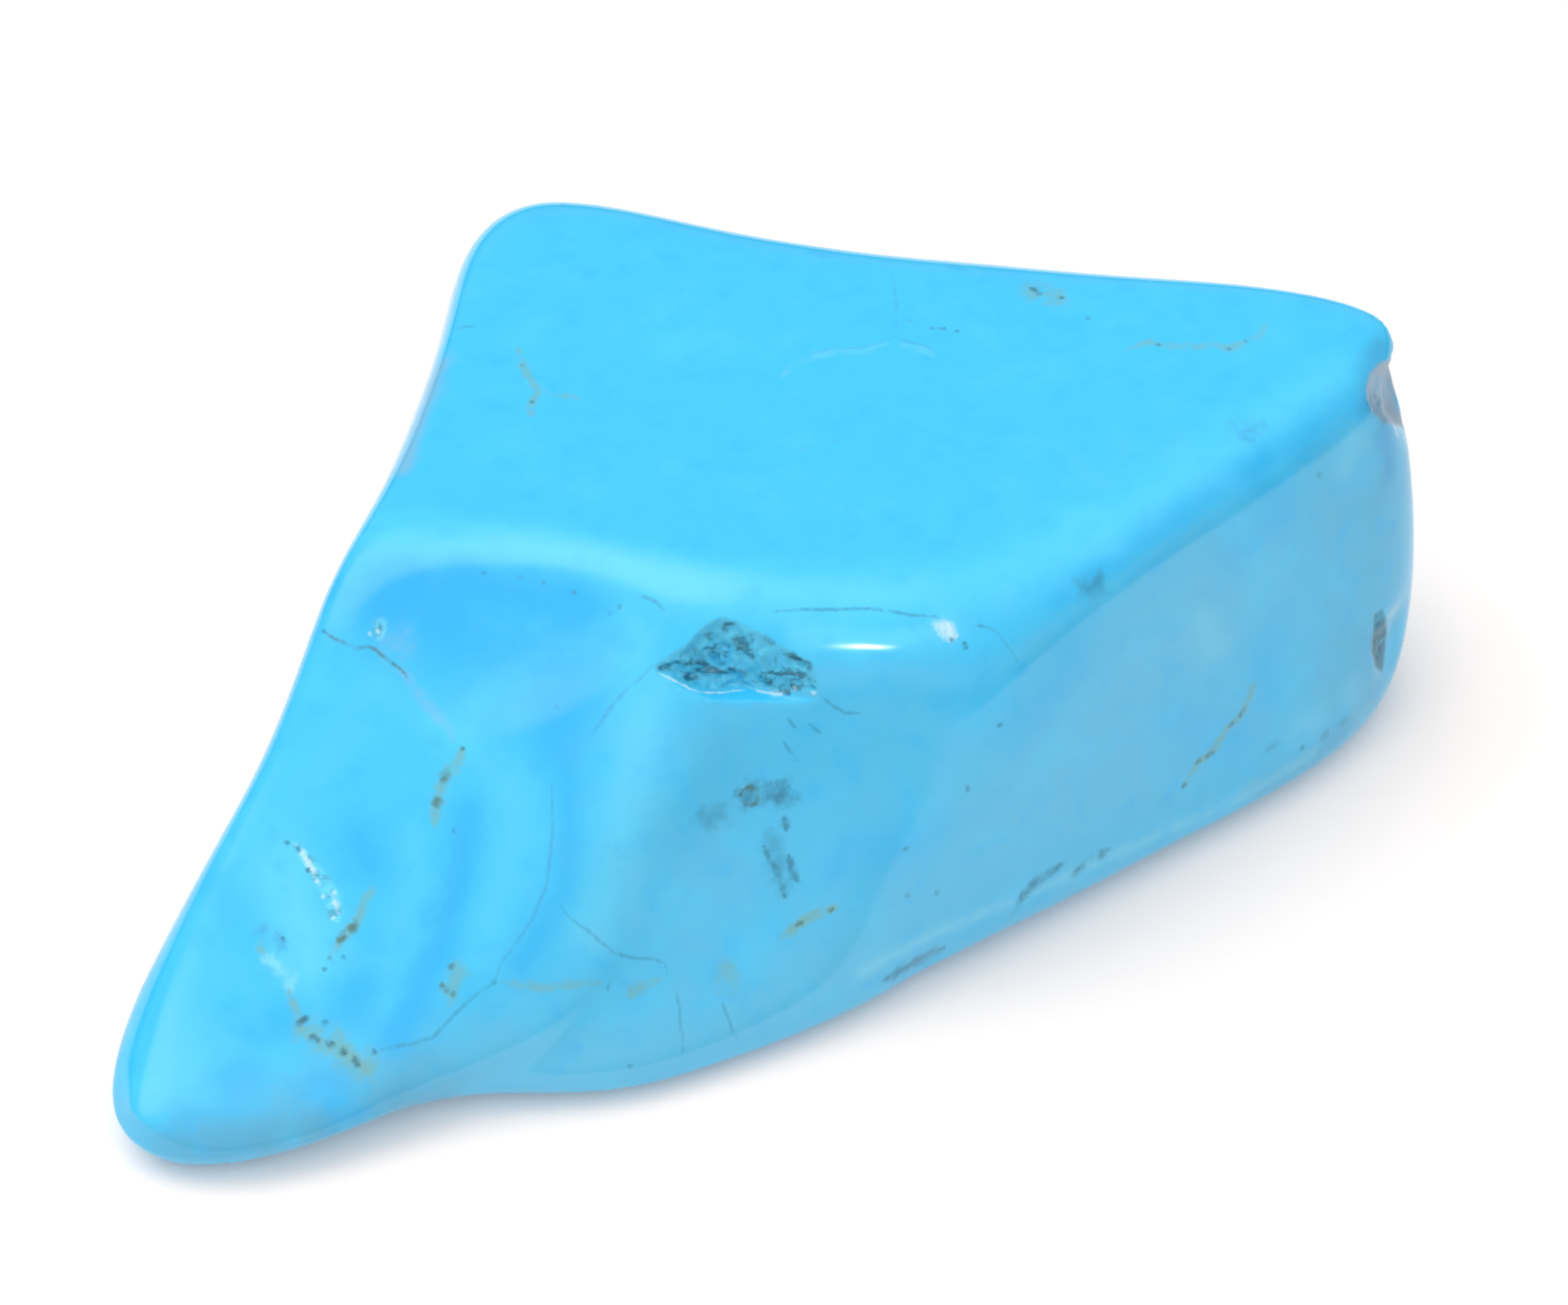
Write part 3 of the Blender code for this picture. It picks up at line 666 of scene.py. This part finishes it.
def body_colours(surface, bm):
    """The colour at each vertex, without its marks: the stone's own blues, painted shade on its sides, and
    the washes, among them painted shade, highlights and reflections.
    """
    places = np.array([vertex.co[:] for vertex in bm.verts])
    stretch = np.array([uneven(vertex.co, WASH_UNEVEN, WASH_PATCH) for vertex in bm.verts])
    # painted shade on the sides, by how far up each surface faces
    side_shade = np.array([
        1.0 - smoothstep(SIDE_LOW, SIDE_HIGH, vertex.normal.z) for vertex in bm.verts])
    colours = np.tile(PAINTS["body"], (len(places), 1))
    colours = blend(colours, "side", side_shade)
    for mark in WASHES.values():
        colours = blend(colours, mark.paint, wash_share(surface, places, stretch, mark))
    return colours


def faces_at(bm, found):
    """The faces that lie in or just around the marks."""
    faces = list(bm.faces)
    tree = search_tree([face.calc_center_median() for face in faces])
    chosen = set()
    for trace in found:
        for _, index, _ in tree.find_range(trace.point, trace.width + FINE_MARGIN * MM):
            chosen.add(faces[index])
    return chosen


def mark_fields(tree, count, found):
    """For each vertex its distance from the nearest mark in widths, and that mark's paint and
    strength."""
    reach = np.full(count, NO_MARK)
    paint = np.zeros((count, 4))
    for trace in found:
        for _, index, distance in tree.find_range(trace.point, MARK_REACH * trace.width):
            if distance < reach[index] * trace.width:
                reach[index] = distance / trace.width
                paint[index] = (*trace.paint, trace.strength)
    return reach, paint


# ---------------------------------------------------------------- broken places

def inside_distance(place, outline):
    """How many pixels a picture place lies inside an outline, negative outside."""
    inside = False
    nearest = math.inf
    for start, end in zip(outline, outline[1:] + outline[:1]):
        side = end - start
        share = max(0.0, min(1.0, (place - start).dot(side) / side.length_squared))
        nearest = min(nearest, (place - start - side * share).length)
        if (start.y > place.y) != (end.y > place.y):
            crossing = start.x + side.x * (place.y - start.y) / side.y
            if place.x < crossing:
                inside = not inside
    return nearest if inside else -nearest


def break_distances(surface, bm, broken):
    """For each vertex around a break, how many pixels it lies inside the outline and
    inside the uneven reach that ends it on the stone's far side."""
    outline = [Vector(place) for place in broken.outline]
    middle = sum(outline, Vector((0.0, 0.0))) / len(outline)
    centre = on_surface(surface, middle)
    distances = {}
    for vertex in bm.verts:
        reach = broken.reach * uneven(vertex.co, FAR_UNEVEN, FAR_PATCH)
        left = reach - (vertex.co - centre).length / MM
        if left > 0.0:
            inside = inside_distance(picture_place(vertex.co), outline)
            distances[vertex] = min(inside, left / PIXEL / FAR_FADE)
    return distances


def ledge(point):
    """How far the floor of a break stands out at a point, in broken steps with lumps on them."""
    place = point / MM
    bend = LEDGE_BEND * noise.noise(place * LEDGE_BENDS_PER_MM)
    along = sum(part * slope for part, slope in zip(place, LEDGE_SLOPE))
    layer = (along + bend) * LEDGES_PER_MM
    step = 2.0 * (layer - math.floor(layer)) - 1.0
    height = LEDGE_HEIGHT * step * noise.noise(place * LEDGE_PATCHES_PER_MM)
    return height + LUMP_HEIGHT * noise.noise(place * LUMPS_PER_MM)


def sculpt_breaks(surface, bm):
    """Sink each break into the stone and give it a floor of broken ledges."""
    for broken in BREAKS.values():
        distances = break_distances(surface, bm, broken)
        near = (vertex for vertex, inside in distances.items() if inside > -SOFT_EDGE)
        refine(bm, {face for vertex in near for face in vertex.link_faces})
        distances = break_distances(surface, bm, broken)
        floor = [vertex for vertex, inside in distances.items() if inside > 0.0]
        facing = sum((vertex.normal for vertex in floor), Vector()).normalized()
        for vertex in floor:
            share = min(1.0, distances[vertex] * PIXEL / broken.wall)
            depth = broken.depth - broken.ledges * ledge(vertex.co)
            vertex.co -= facing * depth * share * MM


def paint_breaks(surface, bm, colours):
    """The colours with the floors of the breaks painted, and two values for each vertex: how much it
    belongs to a break, and how strongly dark flecks of painted crevice shade show on it."""
    grains = np.array([
        smoothstep(GRAIN_FAINT, GRAIN_FULL, noise.noise(vertex.co / (GRAIN * MM)))
        for vertex in bm.verts])
    broken_share = np.zeros(len(bm.verts))
    crevice_shade = np.zeros(len(bm.verts))
    for broken in BREAKS.values():
        share = np.zeros(len(bm.verts))
        for vertex, inside in break_distances(surface, bm, broken).items():
            share[vertex.index] = min(1.0, max(0.0, 0.5 + inside / SOFT_EDGE))
        colours = blend(colours, broken.paint, share * (1.0 - broken.crevice_shade * (1.0 - grains)))
        broken_share = np.maximum(broken_share, share)
        crevice_shade = np.maximum(crevice_shade, broken.crevice_shade * share)
    return colours, broken_share, crevice_shade


# ---------------------------------------------------------------- the stone

def store(mesh, name, kind, field, values):
    """Keep one value for each vertex in the mesh, for the material to read."""
    attribute = mesh.attributes.new(name, kind, "POINT")
    attribute.data.foreach_set(field, np.asarray(values, dtype=np.float32).ravel())


def store_marks(mesh, layer, reach, paint):
    """Keep a layer of marks in the mesh."""
    store(mesh, layer + "_reach", "FLOAT", "value", reach)
    store(mesh, layer + "_paint", "FLOAT_COLOR", "color", paint)


def make_stone():
    """The nugget's visible surface: the CAD solid made smooth, with its breaks and marks."""
    bm = subdivided(cad_quads(), STONE_LEVELS)
    bm.normal_update()
    bm.verts.index_update()
    surface = BVHTree.FromBMesh(bm)
    found = {name: traces(surface, layer.marks) for name, layer in LAYERS.items()}
    refine(bm, faces_at(bm, found["fine"]))
    sculpt_breaks(surface, bm)
    bm.normal_update()
    bm.verts.index_update()
    colours, broken, crevice_shade = paint_breaks(surface, bm, body_colours(surface, bm))
    tree = search_tree([vertex.co for vertex in bm.verts])
    fields = {name: mark_fields(tree, len(bm.verts), marks) for name, marks in found.items()}
    close_sole(bm)
    mesh = bpy.data.meshes.new("nugget_stone")
    bm.to_mesh(mesh)
    bm.free()
    mesh.shade_smooth()
    store(mesh, "body", "FLOAT_COLOR", "color", np.column_stack((colours, np.ones(len(colours)))))
    store(mesh, "broken", "FLOAT", "value", broken)
    store(mesh, "crevice_shade", "FLOAT", "value", crevice_shade)
    for name, (reach, paint) in fields.items():
        store_marks(mesh, name, reach, paint)
    mesh.materials.append(turquoise())
    stone = bpy.data.objects.new("nugget_stone", mesh)
    bpy.context.scene.collection.objects.link(stone)
    return stone


# ---------------------------------------------------------------- the stone's material

class Shading:
    """A material whose nodes are added one by one."""

    def __init__(self, name):
        self.material = bpy.data.materials.new(name)
        self.material.use_nodes = True
        self.tree = self.material.node_tree
        self.shader = self.tree.nodes["Principled BSDF"]
        self.place = self.tree.nodes.new("ShaderNodeTexCoord").outputs["Object"]

    def put(self, socket, value):
        """Link a node's output to a socket, or set the socket to a plain value."""
        if isinstance(value, bpy.types.NodeSocket):
            self.tree.links.new(value, socket)
        else:
            socket.default_value = value

    def field(self, name, output="Fac"):
        """A value that the mesh holds for each vertex."""
        node = self.tree.nodes.new("ShaderNodeAttribute")
        node.attribute_name = name
        return node.outputs[output]

    def drawn_out(self, length, direction):
        """Places in which a texture is drawn out by a factor, in a direction seen from above."""
        node = self.tree.nodes.new("ShaderNodeMapping")
        node.vector_type = "TEXTURE"
        node.inputs["Rotation"].default_value = (0.0, 0.0, direction)
        node.inputs["Scale"].default_value = (length, 1.0, 1.0)
        self.put(node.inputs["Vector"], self.place)
        return node.outputs["Vector"]

    def clouds(self, size, roughness=0.5, place=None):
        """Noise whose clouds are about the given size in mm, 0 to 1 around 0.5."""
        node = self.tree.nodes.new("ShaderNodeTexNoise")
        self.put(node.inputs["Vector"], place or self.place)
        node.inputs["Scale"].default_value = 1.0 / (size * MM)
        node.inputs["Detail"].default_value = NOISE_DETAIL
        node.inputs["Roughness"].default_value = roughness
        return node.outputs["Fac"]

    def sum(self, first, second, factor):
        """first + second * factor."""
        node = self.tree.nodes.new("ShaderNodeMath")
        node.operation = "MULTIPLY_ADD"
        self.put(node.inputs[0], second)
        self.put(node.inputs[1], factor)
        self.put(node.inputs[2], first)
        return node.outputs[0]

    def times(self, first, second):
        """The product of two values."""
        return self.sum(0.0, first, second)

    def rise(self, value, low, high, top=1.0):
        """A smooth rise from 0 to top as the value goes from low to high."""
        node = self.tree.nodes.new("ShaderNodeMapRange")
        node.interpolation_type = "SMOOTHSTEP"
        self.put(node.inputs["Value"], value)
        node.inputs["From Min"].default_value = low
        node.inputs["From Max"].default_value = high
        node.inputs["To Max"].default_value = top
        return node.outputs["Result"]

    def mix(self, factor, first, second):
        """A colour between two others, each a socket or a paint."""
        node = self.tree.nodes.new("ShaderNodeMix")
        node.data_type = "RGBA"
        factor_socket, first_socket, second_socket = (node.inputs[index] for index in (0, 6, 7))
        self.put(factor_socket, factor)
        for socket, colour in ((first_socket, first), (second_socket, second)):
            self.put(socket, colour if isinstance(colour, bpy.types.NodeSocket) else (*colour, 1.0))
        return node.outputs[2]


class Clouds(NamedTuple):
    """Soft patches that show where a noise around 0.5 is high."""
    size: float             # mm
    start: float            # the noise at which a patch begins
    full: float             # and at which it is full
    share: float            # how strongly a full patch shows


PALE_CLOUDS = Clouds(1.6, 0.45, 0.80, 0.35)
DEEP_CLOUDS = Clouds(0.7, 0.48, 0.80, 0.30)
UNFADED_STRETCHES = Clouds(0.5, 0.22, 0.52, 1.0)


def patches(shading, kind):
    """How strongly clouds of one kind show."""
    return shading.rise(shading.clouds(kind.size), kind.start, kind.full, kind.share)


def cloudy_body(shading):
    """The colour kept at the vertices, painted shade, highlights and reflections included, with soft clouds
    of paler and deeper blue in it.
    """
    paler = shading.mix(
        patches(shading, PALE_CLOUDS), shading.field("body", "Color"), PAINTS["clear"])
    return shading.mix(patches(shading, DEEP_CLOUDS), paler, PAINTS["rich"])


def painted_crevice_shade(shading):
    """How strongly the dark flecks of painted crevice shade on the broken floors show."""
    places = shading.drawn_out(SPECK_LENGTH, SPECK_DIRECTION)
    streaks = shading.clouds(SPECK_SIZE, RAGGED, places)
    return shading.times(
        shading.field("crevice_shade"), shading.rise(streaks, SPECK_START, SPECK_FULL))


def mark_amount(shading, name, layer):
    """How strongly a layer of marks shows, with ragged edges and faded stretches."""
    rags = shading.clouds(layer.rag, RAGGED)
    reach = shading.sum(shading.field(name + "_reach"), rags, layer.raggedness)
    edge = 0.5 * layer.raggedness + MARK_EDGE
    line = shading.rise(reach, edge + layer.softness, edge - layer.softness)
    strength = shading.times(
        shading.field(name + "_paint", "Alpha"), patches(shading, UNFADED_STRETCHES))
    return shading.times(line, strength)


def turquoise():
    """Polished turquoise: clouded blue, with its veins, cracks and broken places, and the painted shade,
    highlights and reflections kept at its vertices.
    """
    shading = Shading("turquoise_polished")
    # painted crevice shade: dark flecks on the broken floors
    colour = shading.mix(painted_crevice_shade(shading), cloudy_body(shading), PAINTS["dark"])
    for name, layer in LAYERS.items():
        amount = mark_amount(shading, name, layer)
        colour = shading.mix(amount, colour, shading.field(name + "_paint", "Color"))
    shading.put(shading.shader.inputs["Base Color"], colour)
    rough = shading.sum(POLISHED_ROUGHNESS, shading.field("broken"), BROKEN_ROUGHNESS)
    shading.put(shading.shader.inputs["Roughness"], rough)
    return shading.material


stone = make_stone()
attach(stone, "root")
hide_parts("nugget")


# ---------------------------------------------------------------- floor and light

def make_floor():
    """A wide pale floor just under the stone."""
    mesh = bpy.data.meshes.new("floor")
    bm = bmesh.new()
    bmesh.ops.create_grid(bm, x_segments=1, y_segments=1, size=FLOOR_SIDE * MM / 2)
    bm.to_mesh(mesh)
    bm.free()
    floor = bpy.data.objects.new("floor", mesh)
    floor.location = (0.0, 0.0, -FLOOR_DEPTH * MM)
    bpy.context.scene.collection.objects.link(floor)
    paint = bpy.data.materials.new("floor_white")
    paint.use_nodes = True
    shader = paint.node_tree.nodes["Principled BSDF"]
    shader.inputs["Base Color"].default_value = FLOOR_COLOUR
    shader.inputs["Roughness"].default_value = FLOOR_ROUGHNESS
    shader.inputs["Emission Color"].default_value = GLOW_COLOUR
    shader.inputs["Emission Strength"].default_value = FLOOR_GLOW
    mesh.materials.append(paint)


class SkyLight(NamedTuple):
    """A part of the sky that grows brighter as the view turns toward a direction."""
    toward: tuple           # the direction in which it is brightest
    start: float            # the cosine of the angle to that direction at which it begins
    full: float             # and at which it is full
    strength: float         # what it adds to the sky there


UP = (0.0, 0.0, 1.0)
SKY_LIGHTS = {
    "above_horizon": SkyLight(UP, 0.0, 0.30, 0.52),
    "overhead": SkyLight(UP, 0.45, 1.0, 0.34),
    "broad_front_light": SkyLight((-0.699, -0.453, 0.554), -0.1, 1.0, 0.30),
    "large_soft_lamp": SkyLight((-0.206, 0.388, 0.898), 0.84, 0.98, 1.7),
}


def sky_brightness(tree, direction, light):
    """What one part of the sky adds in the direction that is looked in."""
    aligned = tree.nodes.new("ShaderNodeVectorMath")
    aligned.operation = "DOT_PRODUCT"
    aligned.inputs[1].default_value = light.toward
    rise = tree.nodes.new("ShaderNodeMapRange")
    rise.interpolation_type = "SMOOTHSTEP"
    rise.inputs["From Min"].default_value = light.start
    rise.inputs["From Max"].default_value = light.full
    rise.inputs["To Max"].default_value = light.strength
    tree.links.new(direction, aligned.inputs[0])
    tree.links.new(aligned.outputs["Value"], rise.inputs["Value"])
    return rise.outputs["Result"]


def make_studio():
    """Soft light from all around, brighter overhead, with one large soft lamp."""
    world = bpy.data.worlds.new("studio")
    bpy.context.scene.world = world
    world.use_nodes = True
    tree = world.node_tree
    background = tree.nodes["Background"]
    background.inputs["Color"].default_value = SKY_COLOUR
    direction = tree.nodes.new("ShaderNodeTexCoord").outputs["Generated"]
    strength = tree.nodes.new("ShaderNodeValue").outputs[0]
    strength.default_value = SKY_HORIZON
    for light in SKY_LIGHTS.values():
        total = tree.nodes.new("ShaderNodeMath")
        tree.links.new(sky_brightness(tree, direction, light), total.inputs[0])
        tree.links.new(strength, total.inputs[1])
        strength = total.outputs[0]
    tree.links.new(strength, background.inputs["Strength"])


def make_glint():
    """A narrow lamp that puts one small highlight on the brow."""
    aim = Vector(GLINT_AIM)
    place = aim + Vector(GLINT_FROM) * GLINT_DISTANCE
    data = bpy.data.lights.new("glint", "SPOT")
    data.shadow_soft_size = GLINT_SIZE * MM
    data.energy = GLINT_POWER
    data.spot_size = 2.0 * math.atan(GLINT_BEAM / (place - aim).length)
    data.spot_blend = 1.0
    light = bpy.data.objects.new("glint", data)
    light.location = place * MM
    light.rotation_euler = (aim - place).to_track_quat("-Z", "Y").to_euler()
    bpy.context.scene.collection.objects.link(light)


make_floor()
make_studio()
make_glint()
bpy.context.scene.view_settings.view_transform = "Standard"
